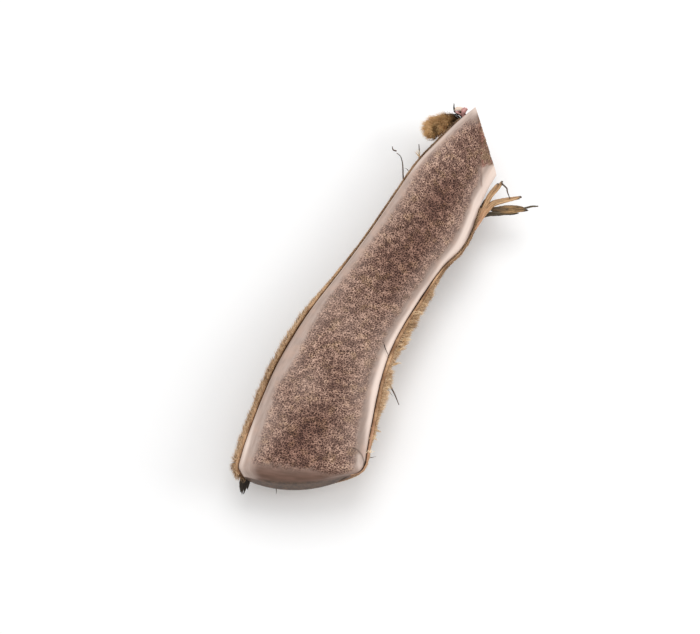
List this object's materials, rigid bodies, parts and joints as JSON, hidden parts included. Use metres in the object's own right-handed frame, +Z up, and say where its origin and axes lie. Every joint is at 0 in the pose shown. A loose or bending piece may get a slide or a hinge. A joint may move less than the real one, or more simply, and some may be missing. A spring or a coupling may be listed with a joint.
{
  "type": "split deer antler in velvet",
  "caption": "Half of a deer antler in velvet, sawn lengthwise: porous bone face with a smooth rim, furry hide round its back and torn at one end. It lies on its back with the cut face up.",
  "frame": {"origin": "under the middle of the antler, on the surface that it lies on", "axes": "+Y along the beam, from the rounded lower end to the cross-cut end; +Z up, out of the sawn face; +X to the right of the beam"},
  "size_m": [0.0636, 0.1766, 0.0202],
  "materials": {
    "bone": "matte",
    "velvet": "matte"
  },
  "bodies": {
    "root": {"antler_bone": "bone", "velvet_skin": "velvet"}
  },
  "joints": []
}
